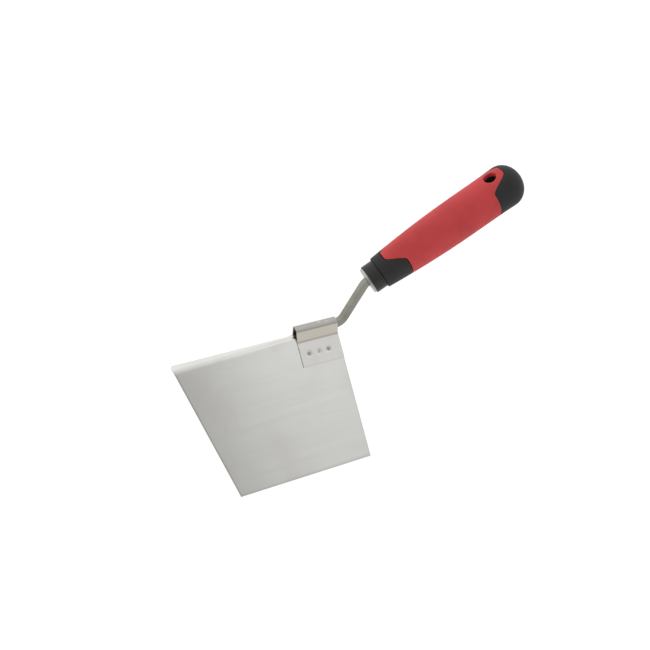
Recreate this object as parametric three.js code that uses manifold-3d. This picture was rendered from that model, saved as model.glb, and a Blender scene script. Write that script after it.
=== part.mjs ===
// Outside corner trowel: a folded stainless blade, a spot-welded saddle, a bent square tang
// and a two-colour handle. Millimetres, +Z up, +X from the blade's toe to the handle's butt,
// mirror plane Y = 0. The trowel stands on the lower edges of its two wings.
import * as THREE from "three";
import { mergeVertices } from "three/addons/utils/BufferGeometryUtils.js";
import Module from "manifold-3d";

// Blade. Its ridge is the fold's theoretical edge, at z = 0 while the pieces are being made. The
// fold opens from its own radius at the saddle to a wider one at the toe.
const RIDGE_LENGTH = 127;
const EDGE_LENGTH = 101.6;
const WING_WIDTH = 101.6;
const BLADE_THICKNESS = 1;
const RIDGE_BEND_RADIUS = 3.5;
const TOE_BEND_RADIUS = 8;

// Saddle: a hat-section bracket over the ridge at the heel, one flange on each wing.
const SADDLE_LENGTH = 33;
const SADDLE_SHEET = 0.8;
const SADDLE_TOP_Z = 6.1;
const SADDLE_TOP_HALF_WIDTH = 3.65;
const SADDLE_TOP_RADIUS = 2.6;
const SADDLE_CREASE_DOWN = 6.1;
const SADDLE_CREASE_RADIUS = 1;
const FLANGE_END_DOWN = 25.5;
const FLANGE_GAP = 0.05;

// Welds: three on each flange, and two through the saddle's top into the tang.
const SPOT_DOWN = 16.2;
const SPOT_FROM_HEEL = [26.3, 18.5, 10.7];
const SPOT_RADIUS = 1.5;
const SPOT_SUNK = 0.15;
const PLUG_FROM_HEEL = [13.6, 7.5];
const PLUG_RADIUS = 1.3;
const WELD_HOLE_CLEARANCE = 0.1;

// Tang: one square bar bent twice in the mirror plane.
const TANG_SIZE = 5.3;
const TANG_CORNER_RADIUS = 0.7;
const TANG_RISE = THREE.MathUtils.degToRad(60);
const TANG_FOOT_X = 130.4;
const TANG_BEND_RADIUS = 9;
const TANG_END_FROM_HEEL = 31;
const TANG_END_IN_HANDLE = 62;
const TANG_ON_RIDGE_GAP = 0.1;
const TANG_SOCKET_CLEARANCE = 0.15;

// Handle: its axis starts at the middle of the collar's front face. Stations run along it.
const HANDLE_FRONT = new THREE.Vector2(152.2, 34.35);
const HANDLE_PITCH = THREE.MathUtils.degToRad(28.5);
const HANDLE_LENGTH = 134.3;
const COLLAR_LENGTH = 9.6;
const COLLAR_RADIUS = 11.05;
const COLLAR_CHAMFER = 0.7;
const BODY_START = 10;
const BODY_START_RADIUS = 12.4;
const BODY_SWELL = 3.5;
const BODY_SWELL_END = 82;
const BODY_SWELL_POWER = 0.9;
const TAIL_SWELL = 0.25;
const TAIL_SWELL_START = 108;
const DOME_START = 121;

// Core under the soft pieces, cored out from the rear where the butt cap plugs it.
const CORE_NECK_RADIUS = 9.6;
const CORE_RADIUS = 12.5;
const CORE_TAPER_END = 60;
const CORE_END = 126;
const CORE_BORE_RADIUS = 7.5;
const CORE_BORE_START = 66;
const PLUG_START = 101;
const SOFT_GAP = 0.1;
const EDGE_GAP = 0.4;
const HANG_HOLE_AT = 112.8;
const HANG_HOLE_RADIUS = 4.8;

// Metal washer let into the collar's front face, round the tang.
const COLLAR_FACE = 0.4;
const WASHER_RADIUS = 10.1;
const WASHER_THICKNESS = 2.2;
const WASHER_CHAMFER = 0.6;
const WASHER_PROUD = 1.5;

// Where the red grip meets the black pieces: its edge's station on top, how far that moves round
// the handle's side and underneath, and the angles from the top between which it moves.
const GRIP_FRONT_TOP = 17.5;
const GRIP_FRONT_SIDE = 13.4;
const GRIP_FRONT_UNDER = -2.5;
const GRIP_REAR_TOP = 122.4;
const GRIP_REAR_SIDE = -14.7;
const GRIP_REAR_UNDER = -3.4;
const GRIP_FRONT_TURN = [14, 62];
const GRIP_REAR_TURN = [12, 52];
const GRIP_UNDER_TURN = [80, 180];

// How finely the round shapes are divided.
const ROUND_STEPS = 48;
const ARC_STEPS = 6;
const CORNER_STEPS = 3;
const HOLE_STEPS = 20;
const BOLSTER_STEPS = 6;
const GRIP_STEPS = 18;
const CAP_STEPS = 2;
const DOME_STEPS = 6;
const DOME_LINE_START = 126;
const MERGE_DISTANCE = 1e-4;
const MATCH_DISTANCE = 1e-3;

const wasm = await Module();
wasm.setup();

const steel = (color, roughness) => new THREE.MeshStandardMaterial({ color, roughness, metalness: 1 });
const plastic = (color, roughness) => new THREE.MeshStandardMaterial({ color, roughness, metalness: 0 });

function mesh(name, geometry, material) {
  const made = new THREE.Mesh(geometry, material);
  made.name = name;
  return made;
}

// ---- outlines -------------------------------------------------------------------------------

// The point where two straight lines cross, each given by a point and a direction.
function crossing(pointA, alongA, pointB, alongB) {
  const between = pointB.clone().sub(pointA);
  const distance = between.cross(alongB) / alongA.cross(alongB);
  return pointA.clone().addScaledVector(alongA, distance);
}

// A polyline moved sideways by a distance, its corners kept sharp. Positive moves it to the right.
function offsetPath(points, distance) {
  const legs = points.slice(1).map((end, i) => {
    const along = end.clone().sub(points[i]).normalize();
    const side = new THREE.Vector2(along.y, -along.x).multiplyScalar(distance);
    return { along, start: points[i].clone().add(side), end: end.clone().add(side) };
  });
  const corners = legs.slice(1).map((leg, i) => {
    const before = legs[i];
    return crossing(before.start, before.along, leg.start, leg.along);
  });
  return [legs[0].start, ...corners, legs.at(-1).end];
}

// A polyline with each inner corner replaced by an arc of the given radius.
function roundedPath(points, radii) {
  const path = [points[0].clone()];
  radii.forEach((radius, i) => {
    const corner = points[i + 1];
    const back = points[i].clone().sub(corner).normalize();
    const ahead = points[i + 2].clone().sub(corner).normalize();
    const half = Math.acos(THREE.MathUtils.clamp(back.dot(ahead), -1, 1)) / 2;
    const inwards = back.clone().add(ahead).normalize();
    const centre = corner.clone().addScaledVector(inwards, radius / Math.sin(half));
    const from = corner.clone().addScaledVector(back, radius / Math.tan(half)).sub(centre);
    const turn = (Math.PI - 2 * half) * Math.sign(ahead.cross(back));
    for (let step = 0; step <= ARC_STEPS; step += 1) {
      path.push(from.clone().rotateAround(new THREE.Vector2(), (turn * step) / ARC_STEPS).add(centre));
    }
  });
  path.push(points.at(-1).clone());
  return path;
}

// The closed outline of a folded sheet: its outer face's path, bend radii and thickness.
function sheetOutline(outer, radii, thickness) {
  const inner = offsetPath(outer, thickness);
  const innerRadii = radii.map((radius, i) => {
    const before = outer[i + 1].clone().sub(outer[i]);
    const after = outer[i + 2].clone().sub(outer[i + 1]);
    return radius - Math.sign(after.cross(before)) * thickness;
  });
  return [...roundedPath(outer, radii), ...roundedPath(inner, innerRadii).reverse()];
}

// An outline in the Y-Z plane extruded towards +X.
function extrudeAlongX(outline, length, startX, steps = 1) {
  const geometry = new THREE.ExtrudeGeometry(new THREE.Shape(outline), {
    depth: length,
    steps,
    bevelEnabled: false,
  });
  const turn = new THREE.Matrix4().makeBasis(
    new THREE.Vector3(0, 1, 0),
    new THREE.Vector3(0, 0, 1),
    new THREE.Vector3(1, 0, 0),
  );
  return geometry.applyMatrix4(turn).translate(startX, 0, 0);
}

// ---- solids ---------------------------------------------------------------------------------

// A closed geometry as a solid that can be cut.
function toSolid(geometry) {
  const bare = geometry.clone();
  bare.deleteAttribute("normal");
  bare.deleteAttribute("uv");
  const merged = mergeVertices(bare, MERGE_DISTANCE);
  const corners = merged.index.array;
  const kept = [];
  for (let i = 0; i < corners.length; i += 3) {
    const [a, b, c] = corners.slice(i, i + 3);
    if (a !== b && b !== c && c !== a) kept.push(a, b, c);
  }
  return new wasm.Manifold(
    new wasm.Mesh({
      numProp: 3,
      vertProperties: merged.attributes.position.array,
      triVerts: new Uint32Array(kept),
    }),
  );
}

function toGeometry(solid) {
  const result = solid.getMesh();
  const geometry = new THREE.BufferGeometry();
  geometry.setAttribute("position", new THREE.BufferAttribute(result.vertProperties, 3));
  geometry.setIndex(new THREE.BufferAttribute(result.triVerts, 1));
  geometry.computeVertexNormals();
  return geometry;
}

function cut(geometry, tools) {
  const solid = tools.reduce((left, tool) => left.subtract(toSolid(tool)), toSolid(geometry));
  return toGeometry(solid);
}

// Closed rings of points joined into a tube, ends capped by fans, or joined ring to ring.
function joinRings(rings, endless) {
  const size = rings[0].length;
  const positions = rings.flat().flatMap((p) => [p.x, p.y, p.z]);
  const index = [];
  const spans = endless ? rings.length : rings.length - 1;
  for (let ring = 0; ring < spans; ring += 1) {
    for (let i = 0; i < size; i += 1) {
      const next = (i + 1) % size;
      const here = ring * size;
      const there = ((ring + 1) % rings.length) * size;
      index.push(here + i, here + next, there + next, here + i, there + next, there + i);
    }
  }
  if (!endless) {
    const last = (rings.length - 1) * size;
    for (let i = 1; i < size - 1; i += 1) {
      index.push(0, i + 1, i, last, last + i, last + i + 1);
    }
  }
  const geometry = new THREE.BufferGeometry();
  geometry.setAttribute("position", new THREE.Float32BufferAttribute(positions, 3));
  geometry.setIndex(index);
  geometry.computeVertexNormals();
  return geometry;
}

// A short cylinder that stands on a face: base point, outward direction, radius and height.
function stud(base, direction, radius, height) {
  const geometry = new THREE.CylinderGeometry(radius, radius, height, HOLE_STEPS);
  geometry.translate(0, height / 2, 0);
  const turn = new THREE.Quaternion().setFromUnitVectors(new THREE.Vector3(0, 1, 0), direction);
  return geometry.applyQuaternion(turn).translate(base.x, base.y, base.z);
}

// ---- blade ----------------------------------------------------------------------------------

const HALF = Math.SQRT1_2;
const saddleStart = RIDGE_LENGTH - SADDLE_LENGTH;

// A point on a wing: side is -1 or +1, down is the distance from the ridge, out is off its face.
function onWing(side, x, down, out) {
  return new THREE.Vector3(x, side * (down + out) * HALF, (out - down) * HALF);
}

function wingPoint(side, down, out) {
  const point = onWing(side, 0, down, out);
  return new THREE.Vector2(point.y, point.z);
}

// Folded sheet in two stretches, joined where the saddle starts. Its toe is cut back: the further
// down a wing, the further the toe is from x = 0.
function makeBlade() {
  const outer = [wingPoint(-1, WING_WIDTH, 0), new THREE.Vector2(0, 0), wingPoint(1, WING_WIDTH, 0)];
  const outline = sheetOutline(outer, [RIDGE_BEND_RADIUS], BLADE_THICKNESS);
  const toeOutline = sheetOutline(outer, [TOE_BEND_RADIUS], BLADE_THICKNESS);
  const geometry = extrudeAlongX(outline, RIDGE_LENGTH, 0, 2);
  const position = geometry.attributes.position;
  const slope = (RIDGE_LENGTH - EDGE_LENGTH) / WING_WIDTH;
  for (let i = 0; i < position.count; i += 1) {
    const x = position.getX(i);
    if (x < RIDGE_LENGTH / 4) {
      const here = new THREE.Vector2(position.getY(i), position.getZ(i));
      const atToe = toeOutline[outline.findIndex((p) => p.distanceTo(here) < MATCH_DISTANCE)];
      const down = (Math.abs(atToe.x) - atToe.y) * HALF;
      position.setXYZ(i, down * slope, atToe.x, atToe.y);
    } else if (x < (3 * RIDGE_LENGTH) / 4) {
      position.setX(i, saddleStart);
    }
  }
  geometry.computeVertexNormals();
  return mesh("blade", geometry, steel(0xc9cacb, 0.35));
}

// ---- saddle and welds -----------------------------------------------------------------------

const flangeOut = FLANGE_GAP + SADDLE_SHEET;
const ridgeTopZ = -RIDGE_BEND_RADIUS * (Math.SQRT2 - 1);
const tangCentreZ = ridgeTopZ + TANG_ON_RIDGE_GAP + TANG_SIZE / 2;

function outwardFromWing(side) {
  return new THREE.Vector3(0, side * HALF, HALF);
}

function makeSpotWelds() {
  const height = SADDLE_SHEET - SPOT_SUNK;
  return [-1, 1].flatMap((side) =>
    SPOT_FROM_HEEL.map((fromHeel, i) => {
      const base = onWing(side, RIDGE_LENGTH - fromHeel, SPOT_DOWN, FLANGE_GAP);
      const name = `spot_weld_${side < 0 ? "right" : "left"}_${i + 1}`;
      return mesh(name, stud(base, outwardFromWing(side), SPOT_RADIUS, height), steel(0x8d8c8a, 0.5));
    }),
  );
}

function makePlugWelds() {
  const bottom = tangCentreZ + TANG_SIZE / 2 + FLANGE_GAP;
  const up = new THREE.Vector3(0, 0, 1);
  return PLUG_FROM_HEEL.map((fromHeel, i) => {
    const base = new THREE.Vector3(RIDGE_LENGTH - fromHeel, 0, bottom);
    const height = SADDLE_TOP_Z - SPOT_SUNK - bottom;
    return mesh(`plug_weld_${i + 1}`, stud(base, up, PLUG_RADIUS, height), steel(0x7d7a76, 0.55));
  });
}

function makeSaddle() {
  const side = (sign) => [
    wingPoint(sign, FLANGE_END_DOWN, flangeOut),
    wingPoint(sign, SADDLE_CREASE_DOWN, flangeOut),
    new THREE.Vector2(sign * SADDLE_TOP_HALF_WIDTH, SADDLE_TOP_Z),
  ];
  const outer = [...side(-1), ...side(1).reverse()];
  const radii = [SADDLE_CREASE_RADIUS, SADDLE_TOP_RADIUS, SADDLE_TOP_RADIUS, SADDLE_CREASE_RADIUS];
  const outline = sheetOutline(outer, radii, SADDLE_SHEET);
  const geometry = extrudeAlongX(outline, SADDLE_LENGTH, saddleStart);
  const spotTools = [-1, 1].flatMap((sign) =>
    SPOT_FROM_HEEL.map((fromHeel) => {
      const base = onWing(sign, RIDGE_LENGTH - fromHeel, SPOT_DOWN, -SADDLE_SHEET);
      return stud(base, outwardFromWing(sign), SPOT_RADIUS + WELD_HOLE_CLEARANCE, 4 * SADDLE_SHEET);
    }),
  );
  const plugTools = PLUG_FROM_HEEL.map((fromHeel) => {
    const base = new THREE.Vector3(RIDGE_LENGTH - fromHeel, 0, SADDLE_TOP_Z - 2 * SADDLE_SHEET);
    const up = new THREE.Vector3(0, 0, 1);
    return stud(base, up, PLUG_RADIUS + WELD_HOLE_CLEARANCE, 4 * SADDLE_SHEET);
  });
  return mesh("saddle", cut(geometry, [...spotTools, ...plugTools]), steel(0xbdbbb6, 0.38));
}

// ---- tang -----------------------------------------------------------------------------------

const handleAlong = new THREE.Vector2(Math.cos(HANDLE_PITCH), Math.sin(HANDLE_PITCH));

// A square outline with rounded corners, in its own plane.
function roundedSquare(size, radius) {
  const middle = size / 2 - radius;
  const points = [];
  for (let quarter = 0; quarter < 4; quarter += 1) {
    for (let step = 0; step <= CORNER_STEPS; step += 1) {
      const angle = ((quarter + step / CORNER_STEPS) * Math.PI) / 2;
      const cornerAngle = ((quarter + 0.5) * Math.PI) / 2;
      points.push(
        new THREE.Vector2(
          Math.SQRT2 * middle * Math.cos(cornerAngle) + radius * Math.cos(angle),
          Math.SQRT2 * middle * Math.sin(cornerAngle) + radius * Math.sin(angle),
        ),
      );
    }
  }
  return points;
}

function makeTang() {
  const rise = new THREE.Vector2(Math.cos(TANG_RISE), Math.sin(TANG_RISE));
  const foot = new THREE.Vector2(TANG_FOOT_X, 0);
  const flat = new THREE.Vector2(RIDGE_LENGTH - TANG_END_FROM_HEEL, tangCentreZ);
  const corners = [
    flat,
    crossing(flat, new THREE.Vector2(1, 0), foot, rise),
    crossing(foot, rise, HANDLE_FRONT, handleAlong),
    HANDLE_FRONT.clone().addScaledVector(handleAlong, TANG_END_IN_HANDLE),
  ];
  const path = roundedPath(corners, [TANG_BEND_RADIUS, TANG_BEND_RADIUS]);
  const section = roundedSquare(TANG_SIZE, TANG_CORNER_RADIUS);
  const rings = path.map((point, i) => {
    const before = path[Math.max(i - 1, 0)];
    const after = path[Math.min(i + 1, path.length - 1)];
    const along = after.clone().sub(before).normalize();
    return section.map(
      (s) => new THREE.Vector3(point.x - along.y * s.y, s.x, point.y + along.x * s.y),
    );
  });
  return mesh("tang", joinRings(rings, false), steel(0xa6a094, 0.42));
}

// ---- handle ---------------------------------------------------------------------------------

const smooth = THREE.MathUtils.smoothstep;

// Outer radius at a station: it swells behind the collar, runs level and ends in a round dome.
function bodyRadius(station) {
  const rise = THREE.MathUtils.clamp((station - BODY_START) / (BODY_SWELL_END - BODY_START), 0, 1);
  const swell = BODY_SWELL * Math.sin((rise * Math.PI) / 2) ** BODY_SWELL_POWER;
  const tail = TAIL_SWELL * smooth(station, TAIL_SWELL_START, DOME_START);
  const domed = THREE.MathUtils.clamp((station - DOME_START) / (HANDLE_LENGTH - DOME_START), 0, 1);
  return (BODY_START_RADIUS + swell + tail) * Math.sqrt(1 - domed * domed);
}

function coreRadius(station) {
  const length = CORE_TAPER_END - COLLAR_LENGTH;
  const taper = THREE.MathUtils.clamp((station - COLLAR_LENGTH) / length, 0, 1);
  return THREE.MathUtils.lerp(CORE_NECK_RADIUS, CORE_RADIUS, taper);
}

// The grip's front and rear edges. The angle is measured round the handle from its top.
function gripFront(angle) {
  const off = THREE.MathUtils.radToDeg(Math.abs(angle));
  const side = GRIP_FRONT_SIDE * smooth(off, ...GRIP_FRONT_TURN);
  return GRIP_FRONT_TOP + side + GRIP_FRONT_UNDER * smooth(off, ...GRIP_UNDER_TURN);
}

function gripRear(angle) {
  const off = THREE.MathUtils.radToDeg(Math.abs(angle));
  const side = GRIP_REAR_SIDE * smooth(off, ...GRIP_REAR_TURN);
  return GRIP_REAR_TOP + side + GRIP_REAR_UNDER * smooth(off, ...GRIP_UNDER_TURN);
}

// A turned piece whose profile may change round the axis. The handle's own axis is local +Y, its
// top is local +X. The profile lists [station, radius] points anticlockwise.
function turned(profileAt) {
  const rings = [];
  for (let step = 0; step < ROUND_STEPS; step += 1) {
    const angle = (2 * Math.PI * step) / ROUND_STEPS;
    const fromTop = angle > Math.PI ? angle - 2 * Math.PI : angle;
    rings.push(
      profileAt(fromTop).map(([station, radius]) => {
        return new THREE.Vector3(radius * Math.cos(angle), station, radius * Math.sin(angle));
      }),
    );
  }
  return joinRings(rings, true);
}

// A soft piece's outer line between two stations, and a point where it lies on the core.
function outerLine(from, to, steps) {
  return Array.from({ length: steps + 1 }, (_, i) => {
    const station = THREE.MathUtils.lerp(from, to, i / steps);
    return [station, bodyRadius(station)];
  });
}

function onCore(station) {
  return [station, coreRadius(station) + SOFT_GAP];
}

function hangHoleTool() {
  const length = 6 * COLLAR_RADIUS;
  const radius = HANG_HOLE_RADIUS;
  const geometry = new THREE.CylinderGeometry(radius, radius, length, HOLE_STEPS);
  return geometry.rotateZ(Math.PI / 2).translate(0, HANG_HOLE_AT, 0);
}

// The square bar's own space in the core and the washer.
function socketTool() {
  const size = TANG_SIZE + 2 * TANG_SOCKET_CLEARANCE;
  const from = -WASHER_THICKNESS;
  const to = CORE_BORE_START + 1;
  return new THREE.BoxGeometry(size, to - from, size).translate(0, (from + to) / 2, 0);
}

const washerFront = COLLAR_FACE - WASHER_PROUD;
const washerBack = washerFront + WASHER_THICKNESS;

function makeCore() {
  const recess = washerBack + SOFT_GAP;
  const profile = () => [
    [recess, 0],
    [recess, WASHER_RADIUS + SOFT_GAP],
    [COLLAR_FACE, WASHER_RADIUS + SOFT_GAP],
    [COLLAR_FACE, COLLAR_RADIUS - COLLAR_CHAMFER],
    [COLLAR_FACE + COLLAR_CHAMFER, COLLAR_RADIUS],
    [COLLAR_LENGTH, COLLAR_RADIUS],
    [COLLAR_LENGTH, CORE_NECK_RADIUS],
    [CORE_TAPER_END, CORE_RADIUS],
    [CORE_END, CORE_RADIUS],
    [CORE_END, CORE_BORE_RADIUS],
    [CORE_BORE_START, CORE_BORE_RADIUS],
    [CORE_BORE_START, 0],
  ];
  const geometry = cut(turned(profile), [socketTool(), hangHoleTool()]);
  return mesh("handle_core", geometry, plastic(0x262626, 0.5));
}

function makeBolster() {
  const start = COLLAR_LENGTH + SOFT_GAP;
  const profile = (angle) => {
    const end = gripFront(angle) - EDGE_GAP;
    return [
      [start, bodyRadius(start) - COLLAR_CHAMFER],
      ...outerLine(start + COLLAR_CHAMFER, end, BOLSTER_STEPS),
      onCore(end),
      onCore(start),
    ];
  };
  return mesh("bolster", turned(profile), plastic(0x2b2b2b, 0.7));
}

function makeGrip() {
  const profile = (angle) => {
    const start = gripFront(angle);
    const end = gripRear(angle);
    const outer = outerLine(start, end, GRIP_STEPS);
    return [...outer, onCore(end), onCore(CORE_TAPER_END), onCore(start)];
  };
  return mesh("grip_sleeve", cut(turned(profile), [hangHoleTool()]), plastic(0xa83c3c, 0.75));
}

function makeButtCap() {
  const profile = (angle) => {
    const start = gripRear(angle) + EDGE_GAP;
    const plugRadius = CORE_BORE_RADIUS - SOFT_GAP;
    const inner = CORE_END + SOFT_GAP;
    return [
      ...outerLine(start, DOME_LINE_START, CAP_STEPS),
      ...domeLine(DOME_LINE_START, DOME_STEPS),
      [PLUG_START, 0],
      [PLUG_START, plugRadius],
      [inner, plugRadius],
      onCore(inner),
      onCore(start),
    ];
  };
  return mesh("butt_cap", cut(turned(profile), [hangHoleTool()]), plastic(0x2f2f30, 0.7));
}

// The dome's line past a station, evenly spaced round its curve, ending on the axis.
function domeLine(from, steps) {
  const depth = HANDLE_LENGTH - DOME_START;
  const first = Math.asin((from - DOME_START) / depth);
  return Array.from({ length: steps }, (_, i) => {
    const angle = THREE.MathUtils.lerp(first, Math.PI / 2, (i + 1) / steps);
    const station = DOME_START + depth * Math.sin(angle);
    return [station, i === steps - 1 ? 0 : bodyRadius(station)];
  });
}

function makeWasher() {
  const profile = () => [
    [washerFront, 0],
    [washerFront, WASHER_RADIUS - WASHER_CHAMFER],
    [washerFront + WASHER_CHAMFER, WASHER_RADIUS],
    [washerBack, WASHER_RADIUS],
    [washerBack, 0],
  ];
  return mesh("front_washer", cut(turned(profile), [socketTool()]), steel(0xa9a9a6, 0.4));
}

function makeHandle() {
  const handle = new THREE.Group();
  const along = new THREE.Vector3(handleAlong.x, 0, handleAlong.y);
  const top = new THREE.Vector3(-handleAlong.y, 0, handleAlong.x);
  const turn = new THREE.Matrix4().makeBasis(top, along, new THREE.Vector3(0, 1, 0));
  handle.quaternion.setFromRotationMatrix(turn);
  handle.position.set(HANDLE_FRONT.x, 0, HANDLE_FRONT.y);
  handle.add(makeWasher(), makeCore(), makeBolster(), makeGrip(), makeButtCap());
  return handle;
}

// ---- assembly -------------------------------------------------------------------------------

const tool = new THREE.Group();
tool.add(makeBlade(), makeSaddle(), ...makeSpotWelds(), ...makePlugWelds(), makeTang(), makeHandle());

// Stand it on its wings, with the origin on the ground under the middle of its box.
const box = new THREE.Box3().setFromObject(tool, true);
tool.position.set(-(box.min.x + box.max.x) / 2, 0, -box.min.z);

const trowel = new THREE.Group();
trowel.add(tool);

export default trowel;
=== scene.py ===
"""Looks for an outside corner trowel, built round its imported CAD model.

A folded steel blade stands on the lower edges of its two wings. A bent square tang joins it to
a soft black and red handle. Lengths are metres. X runs from the blade's toe to the handle's
butt, Z is up, and the mirror plane is Y = 0.
"""

import math

import bmesh
import bpy
import numpy as np
from bpy.props import FloatProperty, FloatVectorProperty, PointerProperty
from mathutils import Matrix, Vector


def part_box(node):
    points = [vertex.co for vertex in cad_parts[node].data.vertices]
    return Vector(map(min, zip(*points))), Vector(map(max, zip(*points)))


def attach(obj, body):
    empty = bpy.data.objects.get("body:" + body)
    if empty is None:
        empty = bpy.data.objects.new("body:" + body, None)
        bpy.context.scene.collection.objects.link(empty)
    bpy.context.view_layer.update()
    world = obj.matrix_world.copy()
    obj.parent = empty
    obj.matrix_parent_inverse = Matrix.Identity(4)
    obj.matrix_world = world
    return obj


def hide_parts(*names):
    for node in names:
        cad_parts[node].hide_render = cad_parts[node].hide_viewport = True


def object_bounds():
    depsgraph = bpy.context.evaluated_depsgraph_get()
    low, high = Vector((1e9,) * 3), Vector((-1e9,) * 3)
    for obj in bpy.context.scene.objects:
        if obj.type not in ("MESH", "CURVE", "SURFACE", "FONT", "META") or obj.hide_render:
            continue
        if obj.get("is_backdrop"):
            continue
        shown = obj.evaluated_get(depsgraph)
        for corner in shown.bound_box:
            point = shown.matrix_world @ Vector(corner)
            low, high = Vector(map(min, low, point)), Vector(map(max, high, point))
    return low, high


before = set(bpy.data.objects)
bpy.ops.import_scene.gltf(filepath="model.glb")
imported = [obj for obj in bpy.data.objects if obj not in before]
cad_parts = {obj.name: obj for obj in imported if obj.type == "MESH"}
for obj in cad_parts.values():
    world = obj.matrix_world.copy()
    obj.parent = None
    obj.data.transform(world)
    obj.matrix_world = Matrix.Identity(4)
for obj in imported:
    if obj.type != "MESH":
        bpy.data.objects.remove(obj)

bl_info = {
    "name": "Outside corner trowel",
    "version": (1, 0, 0),
    "blender": (4, 5, 0),
    "location": "View3D > Sidebar > Trowel",
    "description": "Builds the visible pieces of an outside corner trowel",
    "category": "Object",
}

MM = 0.001
HALF = math.sqrt(0.5)
RIGHT_ANGLE = math.pi / 2
BODY = "root"
SHARP_ANGLE = math.radians(38)
MERGE_DISTANCE = 2e-6

# Fixed sizes of the handle's hidden parts, as stations along its axis and radii.
CORE_NECK_RADIUS = 9.6 * MM
CORE_TAPER_END = 60 * MM
CORE_END = 126 * MM
SOCKET_HALF = 2.8 * MM
SOCKET_END = 63 * MM
TANG_END = 62 * MM
COLLAR_FACE = 0.4 * MM
WASHER_RADIUS = 10.1 * MM
WASHER_THICKNESS = 2.2 * MM
WASHER_FRONT = -1.1 * MM
SOFT_GAP = 0.1 * MM
EDGE_GAP = 0.06 * MM
SEAM_DEPTH = 0.22 * MM
SEAM_STATIONS = np.array([0, 0.08, 0.18, 0.3]) * MM

# The grip's wavy edges, in millimetres: the station on top, how far it moves round the side,
# and how far it moves again underneath. Then the angles between which it moves, in degrees.
GRIP_FRONT = (17.5, 13.4, -2.5)
GRIP_REAR = (122.4, -14.7, -3.4)
GRIP_FRONT_TURN = (14, 62)
GRIP_REAR_TURN = (12, 52)
GRIP_UNDER_TURN = (80, 180)

# The light: the sky's rise towards the far side and its limit, how much of it is lifted or
# lowered over the near side, the floor's own glow, and the softbox.
SKY_RISE = 0.41
SKY_MOST = 1.33
SKY_LIFTED = 0.33
SKY_LIFTED_BY_HEIGHT = 0.9
SKY_LIFTED_HEIGHT = 0.6
SKY_LOWERED = 0.235
FLOOR_GLOW = 0.94
FLOOR_REACH = 6.0
SOFTBOX_PLACE = (-0.4, 0.8, 2.2)
SOFTBOX_SIZE = 2.8
SOFTBOX_POWER = 2

# Colours that have no setting of their own.
WHITE = (1, 1, 1, 1)
WASHER_STEEL = (0.40, 0.40, 0.39)
RUBBER_DUST = (0.42, 0.40, 0.37)
PLASTIC_SCUFF = (0.22, 0.22, 0.22)

# How finely the surfaces are divided.
AROUND = 160
ALONG_HANDLE = 176
EDGE_STEPS = 4

# Rings of cells round a hang hole: those cut away, those of the rounded rim, and the last one
# that is moved at all.
HOLE_RINGS = 7
RIM_RINGS = 3
MOVED_RINGS = 14


# ---- sizes and colours a user would change ---------------------------------------------------


def length(name, description, millimetres):
    return FloatProperty(
        name=name, description=description, default=millimetres * MM, unit="LENGTH", precision=5
    )


def angle(name, description, degrees):
    return FloatProperty(
        name=name, description=description, default=math.radians(degrees), unit="ROTATION"
    )


def share(name, description, default):
    return FloatProperty(
        name=name, description=description, default=default, min=0, max=1, subtype="FACTOR"
    )


def amount(name, description, default):
    return FloatProperty(name=name, description=description, default=default)


def colour(name, description, default):
    return FloatVectorProperty(
        name=name, description=description, default=default, subtype="COLOR", min=0, max=1
    )


class TrowelBlade(bpy.types.PropertyGroup):
    thickness: length("Thickness", "Thickness of the blade's sheet", 1)
    bend: length("Ridge radius", "Outer radius of the fold at the heel end of the ridge", 3.5)
    toe_bend: length("Toe radius", "Outer radius of the fold at the toe end of the ridge", 8)
    ridge_length: length("Ridge", "Length of the blade along its ridge", 127)
    edge_length: length("Lower edge", "Length of a wing along its lower edge", 101.6)
    edge_round: length("Edge rounding", "Radius that the sheet's cut edges are eased to", 0.22)
    steel: colour("Steel", "Colour of the blade's steel", (0.59, 0.588, 0.565))
    roughness: share("Roughness", "Roughness of the blade's steel", 0.20)


class TrowelSaddle(bpy.types.PropertyGroup):
    sheet: length("Sheet", "Thickness of the saddle's sheet", 0.8)
    top_height: length("Top height", "Height of the saddle's top over the ridge line", 6.1)
    top_half_width: length("Top half width", "Half the width of the saddle's top", 3.65)
    top_round: length("Top radius", "Outer radius of the bends beside the top", 2.6)
    crease_down: length("Crease", "Distance down a wing where a flange starts", 6.1)
    crease_round: length("Crease radius", "Radius of the bend where a flange starts", 1)
    flange_end: length("Flange end", "Distance down a wing where a flange ends", 25.5)
    gap: length("Gap", "Gap between a flange and its wing", 0.05)
    edge_round: length("Edge rounding", "Radius that the sheet's cut edges are eased to", 0.2)
    steel: colour("Steel", "Colour of the saddle's flanges", (0.67, 0.662, 0.638))
    tarnish: colour("Tarnish", "Colour of the saddle's walls", (0.525, 0.50, 0.448))
    # Painted shade: this colour darkens the saddle's top, standing in for the shade that falls there.
    painted_top_shade: colour("Top painted shade", "Colour of the saddle's top", (0.35, 0.34, 0.318))
    tarnish_reach: length("Tarnish reach", "Distance from the middle line to the crease", 12.9)
    roughness: share("Roughness", "Roughness of the saddle's steel", 0.36)


class TrowelWelds(bpy.types.PropertyGroup):
    spot_radius: length("Spot radius", "Radius of a spot weld on a flange", 1.7)
    plug_radius: length("Plug radius", "Radius of a plug weld on the saddle's top", 1.35)
    sunk: length("Sunk", "How far a weld's middle lies under the sheet's face", 0.08)
    dimple: length("Dimple", "Depth of the dimple pressed into the sheet round a weld", 0.12)
    burnt: colour("Burnt", "Colour of burnt steel on a weld", (0.36, 0.345, 0.315))


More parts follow.
